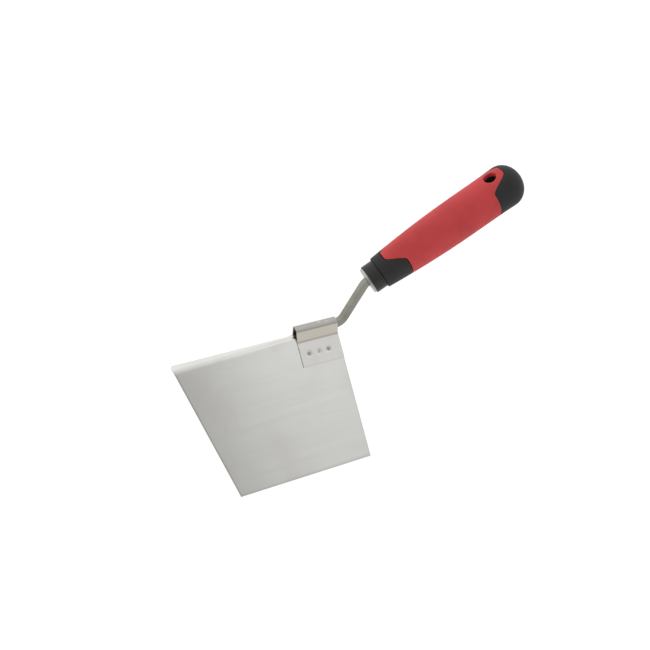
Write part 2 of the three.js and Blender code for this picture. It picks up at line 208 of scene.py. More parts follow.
class TrowelTang(bpy.types.PropertyGroup):
    size: length("Size", "Width of the square bar across its flats", 5.3)
    corner: length("Corner radius", "Radius of the bar's long edges", 0.7)
    bend: length("Bend radius", "Radius of both bends at the bar's middle", 9)
    rise: angle("Rise", "Slope of the leg between the two bends", 60)
    foot: length("Foot", "Distance behind the heel where the rising leg meets the ridge line", 3.4)
    steel: colour("Steel", "Colour of the bar's steel", (0.255, 0.254, 0.220))
    roughness: share("Roughness", "Roughness of the bar's steel", 0.38)


class TrowelHandle(bpy.types.PropertyGroup):
    front_behind: length("Front behind heel", "Distance of the collar's face behind the heel", 25.2)
    front_above: length("Front height", "Height of the collar's face over the ridge line", 34.35)
    pitch: angle("Pitch", "Slope of the handle's axis", 28.5)
    length: length("Length", "Length of the handle", 134.3)
    collar: length("Collar", "Length of the collar at the front", 9.6)
    collar_radius: length("Collar radius", "Radius of the collar", 11.05)
    neck_radius: length("Front radius", "Radius of the soft body where it starts", 12.4)
    swell: length("Swell", "How much the body's radius grows towards the palm", 3.5)
    swell_end: length("Swell end", "Distance along the axis where the body stops growing", 82)
    dome_start: length("Dome start", "Distance along the axis where the butt's dome starts", 121)
    core_radius: length("Core radius", "Radius of the hard core under the soft pieces", 12.5)
    hole_at: length("Hole position", "Distance along the axis of the hang hole", 112.8)
    hole_radius: length("Hole radius", "Radius of the hang hole", 4.8)
    seam: length("Seam", "Width of the fine groove where two soft pieces meet", 0.3)
    black: colour("Black", "Colour of the black soft pieces", (0.025, 0.025, 0.0255))
    hard_black: colour("Hard black", "Colour of the hard core", (0.0265, 0.0265, 0.026))
    red: colour("Red", "Colour of the grip", (0.535, 0.055, 0.058))


class TrowelStage(bpy.types.PropertyGroup):
    azimuth: angle("Azimuth", "Direction of the camera round the trowel, from the toe's side", 25.473)
    elevation: angle("Elevation", "Height of the camera's direction over the floor", 39.211)
    roll: angle("Roll", "How far the camera is rolled about its own axis", 2.68)
    distance: length("Distance", "Distance from the camera to its target", 572.18)
    target_before_heel: length("Target", "Distance of the target in front of the heel", 8.626)
    target_above: length("Target height", "Height of the target over the ridge line", 2.009)
    lens: amount("Lens", "Focal length of the lens in millimetres", 42.39)
    floor: colour("Floor", "Colour of the floor", (0.12, 0.12, 0.12))


def settings():
    return bpy.context.scene.trowel


class TrowelSettings(bpy.types.PropertyGroup):
    blade: PointerProperty(name="Blade", description="The folded blade", type=TrowelBlade)
    saddle: PointerProperty(name="Saddle", description="The bracket on the ridge", type=TrowelSaddle)
    welds: PointerProperty(name="Welds", description="The welds of the saddle", type=TrowelWelds)
    tang: PointerProperty(name="Tang", description="The bent square bar", type=TrowelTang)
    handle: PointerProperty(name="Handle", description="The handle's pieces", type=TrowelHandle)
    stage: PointerProperty(name="Stage", description="Floor, light and camera", type=TrowelStage)


# ---- where things are ------------------------------------------------------------------------


def heel():
    """X of the blade's heel edge."""
    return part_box("blade")[1].x


def toe():
    """The ridge line's front end, along X."""
    return heel() - settings().blade.ridge_length


def ridge():
    """Z of the theoretical edge in which the two wings' outer faces meet."""
    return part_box("blade")[1].z + settings().blade.bend * (math.sqrt(2) - 1)


def wing_width():
    """Distance from the theoretical edge to a wing's lower edge."""
    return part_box("blade")[1].y / HALF


def wing_point(x, side, down, out):
    """A point on a wing: side is -1 or 1, down is the way from the ridge, out is off its face."""
    return np.array([x, side * (down + out) * HALF, ridge() + (out - down) * HALF])


# ---- curves and grids ------------------------------------------------------------------------


def smooth(value, low, high):
    """0 below low, 1 above high, and the cubic 3t^2 - 2t^3 between them."""
    t = np.clip((value - low) / (high - low), 0, 1)
    return t * t * (3 - 2 * t)


def eased(count, low, high, radius):
    """Stations from low to high with extra ones at both ends for a rounded edge, and the angle
    round that edge at each: station = low + radius (1 - cos angle) near low, the mirror of that
    near high, and evenly spaced between them with the angle at 90 degrees."""
    turn = np.linspace(0, RIGHT_ANGLE, EDGE_STEPS + 1)
    ease = radius * (1 - np.cos(turn))
    low, high = np.broadcast_arrays(np.asarray(low, float), np.asarray(high, float))
    t = np.linspace(0, 1, count)
    middle = low[..., None] + radius + (high - low - 2 * radius)[..., None] * t
    start = low[..., None] + ease[:-1]
    end = high[..., None] - ease[-2::-1]
    angles = np.concatenate([turn[:-1], np.full(count, RIGHT_ANGLE), turn[-2::-1]])
    return np.concatenate([start, middle, end], -1), angles


def bent_line(corners, radii, step):
    """A path of straight legs joined by arcs of the given radii, sampled every step.
    Returns its points and the direction angle at each."""
    corners = np.asarray(corners, float)
    leg = np.diff(corners, axis=0)
    size = np.linalg.norm(leg, axis=1)
    heading = np.unwrap(np.arctan2(leg[:, 1], leg[:, 0]))
    turn = np.diff(heading)
    trim = np.concatenate([[0], np.asarray(radii) * np.tan(np.abs(turn) / 2), [0]])
    points, headings = [], []
    for i in range(len(leg)):
        count = max(2, round((size[i] - trim[i] - trim[i + 1]) / step))
        t = np.linspace(trim[i], size[i] - trim[i + 1], count)[:, None]
        points.append(corners[i] + leg[i] / size[i] * t)
        headings.append(np.full(count, heading[i]))
        if i < len(turn):
            swing = np.linspace(0, turn[i], 14)[1:-1]
            side = np.sign(turn[i])
            start = points[-1][-1]
            normal = np.array([-np.sin(heading[i]), np.cos(heading[i])]) * side
            centre = start + normal * radii[i]
            a = heading[i] + swing
            ring = np.stack([np.sin(a), -np.cos(a)], -1) * side * radii[i]
            points.append(centre + ring)
            headings.append(a)
    return np.concatenate(points), np.concatenate(headings)


def run(line):
    """How far along a path of points each of them lies."""
    return np.concatenate([[0], np.cumsum(np.linalg.norm(np.diff(line, axis=0), axis=1))])


def shifted(corners, distance):
    """The corners of a bent path moved sideways, to its left, with its legs kept parallel."""
    corners = np.asarray(corners, float)
    leg = np.diff(corners, axis=0)
    leg /= np.linalg.norm(leg, axis=1)[:, None]
    side = np.stack([-leg[:, 1], leg[:, 0]], -1)
    middle = side[:-1] + side[1:]
    middle *= (distance / (1 + np.sum(side[:-1] * side[1:], -1)))[:, None]
    ends = corners[[0, -1]] + side[[0, -1]] * distance
    return np.concatenate([ends[:1], corners[1:-1] + middle, ends[1:]])


def cells(rows, columns, wrap_rows=False, wrap_columns=False):
    """The quads of a grid of points, as point numbers, in an array of its rows and columns."""
    i = np.arange(rows if wrap_rows else rows - 1)[:, None]
    j = np.arange(columns if wrap_columns else columns - 1)[None, :]
    here, there = i * columns, (i + 1) % rows * columns
    nearer, further = j, (j + 1) % columns
    return np.stack([here + nearer, there + nearer, there + further, here + further], -1)


def shell(outer, inner, keep=None, wrap=False):
    """Two grids of points made one closed body: the cells of both, and a wall from each edge
    that only one kept cell of the outer grid has to its twin on the inner grid."""
    rows, columns = outer.shape[:2]
    quads = cells(rows, columns, wrap)
    quads = quads.reshape(-1, 4) if keep is None else quads[keep]
    count = rows * columns
    start = quads.reshape(-1)
    end = np.roll(quads, -1, 1).reshape(-1)
    alone = ~np.isin(start * count + end, end * count + start)
    start, end = start[alone], end[alone]
    walls = np.stack([end, start, start + count, end + count], -1)
    faces = np.concatenate([quads, quads[:, ::-1] + count, walls])
    points = np.concatenate([outer.reshape(-1, 3), inner.reshape(-1, 3)])
    return points, faces


def add_piece(name, shape, finish, nodes, uv=None):
    """Puts points and quads into a mesh, merges what coincides, turns its faces outwards, and
    lets it ride on the body in place of its CAD nodes."""
    points, faces = shape
    mesh = bpy.data.meshes.new(name)
    mesh.from_pydata(points.tolist(), [], faces.tolist())
    if uv is not None:
        layer = mesh.uv_layers.new(name="Surface")
        layer.data.foreach_set("uv", uv.reshape(-1, 2)[faces.reshape(-1)].reshape(-1))
    work = bmesh.new()
    work.from_mesh(mesh)
    bmesh.ops.remove_doubles(work, verts=work.verts, dist=MERGE_DISTANCE)
    loose = [edge for edge in work.edges if not edge.link_faces]
    bmesh.ops.delete(work, geom=loose, context="EDGES")
    loose = [vertex for vertex in work.verts if not vertex.link_faces]
    bmesh.ops.delete(work, geom=loose, context="VERTS")
    if work.calc_volume(signed=True) < 0:
        bmesh.ops.reverse_faces(work, faces=work.faces)
    open_edges = sum(1 for edge in work.edges if len(edge.link_faces) != 2)
    work.to_mesh(mesh)
    work.free()
    if open_edges:
        raise RuntimeError(f"{name} has {open_edges} edges that don't join two faces")
    mesh.polygons.foreach_set("use_smooth", np.ones(len(mesh.polygons), bool))
    mesh.set_sharp_from_angle(angle=SHARP_ANGLE)
    mesh.materials.append(finish)
    piece = bpy.data.objects.new(name, mesh)
    bpy.context.scene.collection.objects.link(piece)
    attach(piece, BODY)
    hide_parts(*nodes)
    return piece


# ---- materials -------------------------------------------------------------------------------


class Value:
    """A shader socket that Python's operators turn into Math nodes."""

    def __init__(self, finish, socket):
        self.finish = finish
        self.socket = socket

    def _math(self, operation, *values):
        return self.finish.node("ShaderNodeMath", {"operation": operation}, dict(enumerate(values)))

    def __add__(self, other):
        return self._math("ADD", self, other)

    __radd__ = __add__

    def __mul__(self, other):
        return self._math("MULTIPLY", self, other)

    __rmul__ = __mul__

    def __sub__(self, other):
        return self._math("SUBTRACT", self, other)

    def __rsub__(self, other):
        return self._math("SUBTRACT", other, self)

    def __truediv__(self, other):
        return self._math("DIVIDE", self, other)

    def __rtruediv__(self, other):
        return self._math("DIVIDE", other, self)

    def __pow__(self, other):
        return self._math("POWER", self, other)

    def __abs__(self):
        return self._math("ABSOLUTE", self)


class Net:
    """A tree of shader nodes under construction."""

    def __init__(self, tree):
        self.tree = tree
        tree.nodes.clear()

    def node(self, kind, options=None, inputs=None, output=0):
        """Adds a node: its settings first, then the values or links of its sockets."""
        made = self.tree.nodes.new(kind)
        for option, value in (options or {}).items():
            setattr(made, option, value)
        for socket, value in (inputs or {}).items():
            self.join(made.inputs[socket], value)
        return Value(self, made.outputs[output])

    def join(self, socket, value):
        if isinstance(value, Value):
            self.tree.links.new(value.socket, socket)
        elif value is not None:
            socket.default_value = value

    def step(self, value, low, high):
        """0 below low, 1 above high, smooth between them."""
        options = {"interpolation_type": "SMOOTHSTEP"}
        inputs = {"Value": value, "From Min": low, "From Max": high}
        return self.node("ShaderNodeMapRange", options, inputs)


class Finish(Net):
    """A material under construction: its nodes, and the Principled BSDF they lead to."""

    def __init__(self, name, **uniform):
        self.material = bpy.data.materials.new(name)
        self.material.use_nodes = True
        super().__init__(self.material.node_tree)
        self.shader = self.tree.nodes.new("ShaderNodeBsdfPrincipled")
        output = self.tree.nodes.new("ShaderNodeOutputMaterial")
        self.tree.links.new(self.shader.outputs["BSDF"], output.inputs["Surface"])
        self.set(**uniform)

    def set(self, **inputs):
        for socket, value in inputs.items():
            self.join(self.shader.inputs[socket.replace("_", " ")], value)
        return self.material

    def place(self, kind="Object", stretch=(1, 1, 1)):
        """Coordinates in metres, each multiplied by its stretch."""
        source = self.node("ShaderNodeTexCoord", output=kind)
        return self.node(
            "ShaderNodeVectorMath", {"operation": "MULTIPLY"}, {0: source, 1: stretch}
        )

    def noise(self, place, scale, detail=3, rough=0.5, warp=0):
        inputs = {"Vector": place, "Scale": scale, "Detail": detail}
        inputs |= {"Roughness": rough, "Distortion": warp}
        return self.node("ShaderNodeTexNoise", {}, inputs)

    def blend(self, factor, first, second):
        """The first colour where factor is 0 and the second where it is 1."""
        options = {"data_type": "RGBA"}
        inputs = {0: factor, 6: solid(first), 7: solid(second)}
        return self.node("ShaderNodeMix", options, inputs, output=2)

    def bump(self, height, distance, strength=1):
        inputs = {"Height": height, "Distance": distance, "Strength": strength}
        return self.node("ShaderNodeBump", {}, inputs)


def solid(tint):
    """A colour as four numbers. A link stays as it is."""
    return tint if isinstance(tint, Value) else (*tint[:3], 1)


def toned(tint, factor, warmth=0):
    """A colour made lighter or darker, and warmer or cooler."""
    red, green, blue = tint[:3]
    return (red * factor * (1 + warmth), green * factor, blue * factor * (1 - warmth))


def rolled_steel(name, tint, roughness, streaks=1.0, stains=1.0, heat_tint_and_shade=None):
    """Sheet steel with a fine grain along the rolling direction, cloudy stains and thin
    scratches. It reads the sheet's own flat coordinates: U along the ridge, V across it. The
    last argument gives the tint that welding leaves on the walls, the painted shade over the
    top, the painted shade along the crease, and the crease's distance from the middle line."""
    finish = Finish(name, Metallic=1.0)
    flat = finish.place("UV")
    grain = finish.noise(finish.place("UV", (40, 1500, 1)), 1, 4, 0.6)
    band = finish.noise(finish.place("UV", (9, 150, 1)), 1, 3, 0.5)
    cloud = finish.noise(flat, 22, 4, 0.55, 0.4)
    speck = finish.noise(flat, 700, 3, 0.6)
    drag = finish.noise(finish.place("UV", (60, 520, 1)), 1, 2, 0.4, 0.6)
    scratch = finish.step(drag, 0.68, 0.74)
    stain = finish.step(cloud, 0.44, 0.66)
    shade = finish.blend(stain, toned(tint, 1.02), toned(tint, 1 - 0.05 * stains, 0.02))
    shade = finish.blend(finish.step(band, 0.35, 0.7) * 0.5, shade, toned(tint, 0.97))
    shade = finish.blend(scratch * 0.2, shade, toned(tint, 1.08))
    if heat_tint_and_shade:
        burnt, top_painted_shade, crease_painted_shade, reach = heat_tint_and_shade
        across = abs(finish.node("ShaderNodeSeparateXYZ", {}, {0: flat}, output="Y"))
        ragged = across + (cloud - 0.5) * 3 * MM
        shade = finish.blend(1 - finish.step(ragged, reach - 1 * MM, reach + 1.6 * MM), shade, burnt)
        bronze = finish.step(cloud, 0.42, 0.6) * (1 - finish.step(across, reach - 2 * MM, reach))
        shade = finish.blend(bronze * 0.7, shade, toned(burnt, 0.97, 0.045))
        # Painted shade: the top is blended to a darker colour in place of the shade over it.
        top = 1 - finish.step(across, 2.9 * MM, 4.4 * MM)
        shade = finish.blend(top, shade, top_painted_shade)
        # Painted shade: a darker line along each crease, where the wall meets its flange.
        line = 1 - finish.step(abs(across - reach), 0.2 * MM, 1.1 * MM)
        shade = finish.blend(line * 0.8, shade, crease_painted_shade)
    rough = roughness + (grain - 0.5) * 0.12 * streaks + (cloud - 0.5) * 0.10 * stains
    rough = rough + (band - 0.5) * 0.05 * streaks - scratch * 0.04
    height = grain * 0.7 * streaks + speck * 0.35 + band * 0.15 * streaks - scratch * 0.3
    return finish.set(
        Base_Color=shade, Roughness=rough, Normal=finish.bump(height, 0.02 * MM, 0.6)
    )


def bar_steel(name, tint, roughness):
    """Drawn bar: mottled, with faint tarnish and small pits, a little darker in its stains."""
    finish = Finish(name, Metallic=1.0)
    here = finish.place()
    mottle = finish.noise(here, 120, 4, 0.6, 0.3)
    tarnish = finish.noise(here, 45, 3, 0.5)
    pit = finish.step(finish.noise(here, 900, 2, 0.5), 0.60, 0.72)
    grain = finish.noise(here, 2200, 2, 0.5)
    shade = finish.blend(finish.step(tarnish, 0.4, 0.68), toned(tint, 1.05), toned(tint, 0.86, 0.03))
    shade = finish.blend(pit * 0.5, shade, toned(tint, 0.6, 0.04))
    rough = roughness + (mottle - 0.5) * 0.22 + pit * 0.12
    height = mottle * 0.8 + grain * 0.3 - pit * 0.8
    return finish.set(
        Base_Color=shade, Roughness=rough, Normal=finish.bump(height, 0.05 * MM, 0.6)
    )


def weld_steel(name, tint):
    """Burnt, crusted steel of a weld, darker and rougher in patches."""
    finish = Finish(name, Metallic=0.85)
    here = finish.place()
    crust = finish.noise(here, 700, 4, 0.65)
    burn = finish.noise(here, 330, 2, 0.5)
    shade = finish.blend(finish.step(burn, 0.35, 0.65), toned(tint, 1.25, 0.02), toned(tint, 0.62, 0.05))
    rough = 0.48 + (crust - 0.5) * 0.3
    return finish.set(
        Base_Color=shade, Roughness=rough, Normal=finish.bump(crust, 0.12 * MM, 0.8)
    )


def soft_rubber(name, tint, roughness, dust):
    """Matte moulded rubber: a fine pebble, cloudy handling marks and a dusting of grit."""
    finish = Finish(name, Metallic=0.0, Specular_IOR_Level=0.22)
    here = finish.place()
    cloud = finish.noise(here, 38, 4, 0.55, 0.2)
    pebble = finish.noise(here, 1500, 2, 0.5)
    skin = finish.noise(here, 260, 3, 0.55)
    grit = finish.step(finish.noise(here, 620, 3, 0.6), 0.62, 0.75)
    shade = finish.blend(finish.step(cloud, 0.35, 0.68), toned(tint, 1.06), toned(tint, 0.9))
    shade = finish.blend(grit * dust, shade, RUBBER_DUST)
    rough = roughness + (cloud - 0.5) * 0.12 + (skin - 0.5) * 0.1 + grit * 0.05
    height = pebble * 0.5 + skin * 0.6 + grit * 0.2
    return finish.set(
        Base_Color=shade, Roughness=rough, Normal=finish.bump(height, 0.06 * MM, 0.5)
    )


def hard_plastic(name, tint, roughness):
    """Moulded plastic: smoother than the rubber, with fine scuffs."""
    finish = Finish(name, Metallic=0.0, Specular_IOR_Level=0.25)
    here = finish.place()
    cloud = finish.noise(here, 60, 3, 0.5)
    scuff = finish.step(finish.noise(here, 430, 4, 0.65, 1.2), 0.60, 0.70)
    skin = finish.noise(here, 1100, 2, 0.5)
    shade = finish.blend(finish.step(cloud, 0.35, 0.65), toned(tint, 1.08), toned(tint, 0.9))
    shade = finish.blend(scuff * 0.12, shade, PLASTIC_SCUFF)
    rough = roughness + (cloud - 0.5) * 0.12 + scuff * 0.12
    return finish.set(
        Base_Color=shade, Roughness=rough, Normal=finish.bump(skin + scuff * 0.4, 0.03 * MM, 0.5)
    )


# ---- blade -----------------------------------------------------------------------------------


class TROWEL_OT_blade(bpy.types.Operator):
    """Folds the blade from one sheet"""

    bl_idname = "trowel.blade"
    bl_label = "Blade"

    def execute(self, context):
        """Surface = middle sheet + or - its half thickness. The middle sheet is an arc over the
        ridge with a flat on each side, carried from the slanted toe to the heel. The arc's
        radius shrinks evenly from the toe to the saddle. The half thickness falls off as a
        quarter circle at every edge."""
        blade = settings().blade
        eighth = math.pi / 4
        bend_turn = np.linspace(-eighth, eighth, 33)
        flat, turn = eased(44, 0, wing_width() - blade.bend, blade.edge_round)
        flat, turn = flat[EDGE_STEPS + 1 :], turn[EDGE_STEPS + 1 :]
        tilt = np.concatenate([np.full(len(flat), -eighth), bend_turn, np.full(len(flat), eighth)])
        past = np.concatenate([-flat[::-1], np.zeros(len(bend_turn)), flat])
        across_turn = np.concatenate([turn[::-1], np.full(len(bend_turn), RIGHT_ANGLE), turn])
        tilt, past = tilt[:, None], past[:, None]

        station, along_turn = eased(120, 0, 1, blade.edge_round / (heel() - toe()))
        saddle_start = (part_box("saddle")[0].x - toe()) / (heel() - toe())
        opened = np.clip(1 - station / saddle_start, 0, 1)
        bend = (blade.bend + (blade.toe_bend - blade.bend) * opened)[None, :]
        past = past * (wing_width() - bend) / (wing_width() - blade.bend)
        middle_bend = bend - blade.thickness / 2
        y = middle_bend * np.sin(tilt) + past * HALF
        z = ridge() - bend * math.sqrt(2) + middle_bend * np.cos(tilt) - np.abs(past) * HALF
        down = (np.abs(y) - z + ridge()) * HALF
        slope = (heel() - toe() - blade.edge_length) / wing_width()
        start = toe() + down * slope
        x = start + (heel() - start) * station

        ease = np.minimum(np.sin(across_turn)[:, None], np.sin(along_turn)[None, :])
        half = blade.thickness / 2 - blade.edge_round * (1 - ease)
        normal = np.stack([np.zeros_like(tilt), np.sin(tilt), np.cos(tilt)], -1)
        middle = np.stack([x, y, z], -1)
        rise = normal * half[..., None]
        flat_place = np.stack([x - heel(), past + tilt * middle_bend], -1)
        add_piece(
            "folded_blade",
            shell(middle + rise, middle - rise),
            rolled_steel("brushed blade steel", blade.steel, blade.roughness, 0.55, 0.7),
            ["blade"],
            np.stack([flat_place, flat_place]),
        )
        return {"FINISHED"}


# ---- saddle and welds ------------------------------------------------------------------------


def weld_spots():
    """Each weld's CAD node, the middle of its face on the sheet, and the way it faces."""
    spots = []
    saddle = settings().saddle
    for node in sorted(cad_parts):
        low, high = (np.array(corner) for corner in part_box(node))
        middle = (low + high) / 2
        if node.startswith("spot_weld"):
            side = math.copysign(1, middle[1])
            facing = np.array([0, side * HALF, HALF])
            face = saddle.gap + saddle.sheet
            off = (middle - wing_point(0, side, 0, face)) @ facing
            spots.append((node, middle - facing * off, facing))
        elif node.startswith("plug_weld"):
            up = np.array([0.0, 0.0, 1.0])
            spots.append((node, np.array([middle[0], 0, ridge() + saddle.top_height]), up))
    return spots


def weld_radius(node):
    welds = settings().welds
    return welds.spot_radius if node.startswith("spot") else welds.plug_radius


class TROWEL_OT_saddle(bpy.types.Operator):
    """Bends the saddle over the ridge and presses its dimples"""

    bl_idname = "trowel.saddle"
    bl_label = "Saddle"

    def execute(self, context):
        """Surface = middle sheet + or - its half thickness, less a round dimple at each weld:
        depth times a smooth step that falls from the weld's radius to 1.6 of it."""
        saddle, welds = settings().saddle, settings().welds
        face = saddle.gap + saddle.sheet
        corners = [
            wing_point(0, -1, saddle.flange_end, face)[1:],
            wing_point(0, -1, saddle.crease_down, face)[1:],
            (-saddle.top_half_width, ridge() + saddle.top_height),
            (saddle.top_half_width, ridge() + saddle.top_height),
            wing_point(0, 1, saddle.crease_down, face)[1:],
            wing_point(0, 1, saddle.flange_end, face)[1:],
        ]
        half_sheet = saddle.sheet / 2
        middle_corners = shifted(corners, -half_sheet)
        radii = [saddle.crease_round + half_sheet, saddle.top_round - half_sheet]
        line, heading = bent_line(middle_corners, radii + radii[::-1], 0.3 * MM)
        reach = run(line)
        across, across_turn = eased(170, 0, reach[-1], saddle.edge_round)
        y = np.interp(across, reach, line[:, 0])
        z = np.interp(across, reach, line[:, 1])
        tilt = np.interp(across, reach, heading)

        low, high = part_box("saddle")
        x, along_turn = eased(90, low.x, high.x, saddle.edge_round)
        ease = np.minimum(np.sin(across_turn)[:, None], np.sin(along_turn)[None, :])
        half = half_sheet - saddle.edge_round * (1 - ease)
        normal = np.stack([np.zeros_like(tilt), -np.sin(tilt), np.cos(tilt)], -1)[:, None, :]
        middle = np.stack(np.broadcast_arrays(x[None, :], y[:, None], z[:, None]), -1)
        for node, spot, facing in weld_spots():
            radius = weld_radius(node)
            away = np.linalg.norm(middle + facing * half_sheet - spot, axis=-1)
            middle = middle - facing * (welds.dimple * (1 - smooth(away, radius, 1.6 * radius)))[..., None]
        rise = normal * half[..., None]
        flat_place = np.stack(
            np.broadcast_arrays(x[None, :] - high.x, across[:, None] - reach[-1] / 2), -1
        )
        add_piece(
            "bent_saddle",
            shell(middle + rise, middle - rise),
            saddle_steel(),
            ["saddle"],
            np.stack([flat_place, flat_place]),
        )
        return {"FINISHED"}


def saddle_steel():
    """The blade's steel, warmer, with dull straw and brown over the two walls, and painted shade
    over the top and along each crease.
    """
    saddle = settings().saddle
    # Painted shade for the creases: the walls' colour made darker.
    crease = toned(saddle.tarnish, 0.78, 0.03)
    heat_tint_and_shade = (saddle.tarnish, saddle.painted_top_shade, crease, saddle.tarnish_reach)
    return rolled_steel("tarnished saddle steel with painted shade", saddle.steel, saddle.roughness, 0.6, 1.2, heat_tint_and_shade)


class TROWEL_OT_welds(bpy.types.Operator):
    """Fills the saddle's dimples with welds"""

    bl_idname = "trowel.welds"
    bl_label = "Welds"

    def execute(self, context):
        """Face height over a disc = - sunk in the middle, a raised ring at three quarters of the
        radius, and a fall below the sheet at the rim. The back is flat."""
        welds, saddle = settings().welds, settings().saddle
        burns = {"1": 1.4, "2": 1.8, "3": 0.95}
        finishes = {
            last: weld_steel(f"burnt weld steel {last}", toned(welds.burnt, burn))
            for last, burn in burns.items()
        }
        around = np.linspace(0, 2 * math.pi, 36, endpoint=False)[:, None]
        out = np.linspace(0, 1, 13)[None, :]
        ring = np.exp(-(((out - 0.74) / 0.13) ** 2))
        face = -welds.sunk + welds.sunk * 0.8 * ring - 0.25 * MM * smooth(out, 0.85, 1)
        face = face + 0.03 * MM * np.sin(3 * around) * out
        back = np.full_like(face, -saddle.sheet * 0.8)
        for node, spot, facing in weld_spots():
            side = np.cross(facing, (1.0, 0.0, 0.0))
            radius = weld_radius(node)
            flat = radius * out * np.cos(around)
            over = radius * out * np.sin(around)
            plane = spot + flat[..., None] * np.array([1.0, 0, 0]) + over[..., None] * side
            add_piece(
                "crater_" + node,
                shell(plane + face[..., None] * facing, plane + back[..., None] * facing, wrap=True),
                finishes[node[-1]],
                [node],
            )
        return {"FINISHED"}


# ---- tang ------------------------------------------------------------------------------------


def handle_frame():
    """The middle of the collar's face, and the handle's own directions: along its axis, and
    square to the axis in the mirror plane, upwards."""
    handle = settings().handle
    start = np.array([heel() + handle.front_behind, 0, ridge() + handle.front_above])
    along = np.array([math.cos(handle.pitch), 0, math.sin(handle.pitch)])
    top = np.array([-along[2], 0, along[0]])
    return start, along, top


def square_radius(around, half, power=11):
    """Distance from a rounded square's middle to its outline: half the size over the power mean
    of the direction's cosine and sine."""
    c, s = np.abs(np.cos(around)), np.abs(np.sin(around))
    return half / (c**power + s**power) ** (1 / power)


class TROWEL_OT_tang(bpy.types.Operator):
    """Bends the square bar between the blade and the handle"""

    bl_idname = "trowel.tang"
    bl_label = "Tang"

    def execute(self, context):
        """Rounded square carried along three straight legs and two arcs in the mirror plane. The
        section shrinks along a quarter circle at both ends and closes in a point there."""
        tang, handle = settings().tang, settings().handle
        low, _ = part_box("tang")
        start, along, _ = handle_frame()
        flat_height = low.z + tang.size / 2
        leg = np.array([math.cos(tang.rise), math.sin(tang.rise)])
        foot = np.array([heel() + tang.foot, ridge()])
        first = foot + leg * (flat_height - foot[1]) / leg[1]
        axis, face = along[[0, 2]], start[[0, 2]]
        gap = face - foot
        reach = (gap[0] * axis[1] - gap[1] * axis[0]) / (leg[0] * axis[1] - leg[1] * axis[0])
        second = foot + leg * reach
        end = face + axis * TANG_END
        corners = [(low.x, flat_height), first, second, end]
        line, heading = bent_line(corners, [tang.bend, tang.bend], 1.2 * MM)
        reach = run(line)
        station, turn = eased(190, 0, reach[-1], tang.corner)
        station = np.concatenate([station[:1], station, station[-1:]])
        shrink = 1 - (1 - np.sin(turn)) * tang.corner / (tang.size / 2)
        shrink = np.concatenate([[0], shrink, [0]])
        x = np.interp(station, reach, line[:, 0])
        z = np.interp(station, reach, line[:, 1])
        tilt = np.interp(station, reach, heading)
        around = np.linspace(0, 2 * math.pi, 64, endpoint=False)[:, None]
        # Points gather at the corners, where the section turns.
        around = around - 0.18 * np.sin(4 * around)
        radius = square_radius(around, tang.size / 2) * shrink[None, :]
        side, over = radius * np.sin(around), radius * np.cos(around)
        points = np.stack([x - np.sin(tilt) * over, side, z + np.cos(tilt) * over], -1)
        quads = cells(*points.shape[:2], True).reshape(-1, 4)
        add_piece(
            "bent_tang",
            (points.reshape(-1, 3), quads),
            bar_steel("drawn tang steel", tang.steel, tang.roughness),
            ["tang"],
        )
        return {"FINISHED"}


# ---- handle ----------------------------------------------------------------------------------


def body_radius(station):
    """Outer radius: it swells as a flattened quarter sine behind the collar, runs level, and
    closes as a quarter ellipse."""
    handle = settings().handle
    body_start = 10 * MM
    rise = np.clip((station - body_start) / (handle.swell_end - body_start), 0, 1)
    swell = handle.swell * np.sin(rise * RIGHT_ANGLE) ** 0.9
    tail = 0.25 * MM * smooth(station, 108 * MM, handle.dome_start)
    domed = (station - handle.dome_start) / (handle.length - handle.dome_start)
    domed = np.clip(domed, 0, 1)
    return (handle.neck_radius + swell + tail) * np.sqrt(1 - domed**2)


def core_radius(station):
    """Radius of the hard core: it tapers from its full size down to the neck."""
    handle = settings().handle
    taper = np.clip((station - handle.collar) / (CORE_TAPER_END - handle.collar), 0, 1)
    return CORE_NECK_RADIUS + (handle.core_radius - CORE_NECK_RADIUS) * taper


def wavy_edge(around, stations, side_turn):
    """Station of an edge of the grip: it leaves its station on top in a smooth step round the
    side, and in another underneath."""
    top, side, under = stations
    off = np.degrees(np.abs(around))
    return (top + side * smooth(off, *side_turn) + under * smooth(off, *GRIP_UNDER_TURN)) * MM


def grip_front(around):
    return wavy_edge(around, GRIP_FRONT, GRIP_FRONT_TURN)


def grip_rear(around):
    return wavy_edge(around, GRIP_REAR, GRIP_REAR_TURN)


def turns(columns):
    """Angles round the handle from its top, -180 to 180 degrees, one row for each."""
    around = np.arange(AROUND) * 2 * math.pi / AROUND
    around = np.where(around > math.pi, around - 2 * math.pi, around)
    return np.repeat(around[:, None], columns, 1)


def in_place(around, station, radius):
    """Points of the handle: start + axis times station + the radius turned round the axis."""
    start, along, top = handle_frame()
    over = (radius * np.cos(around))[..., None] * top
    side = (radius * np.sin(around))[..., None] * np.array([0.0, 1.0, 0.0])
    return start + np.asarray(station)[..., None] * along + over + side


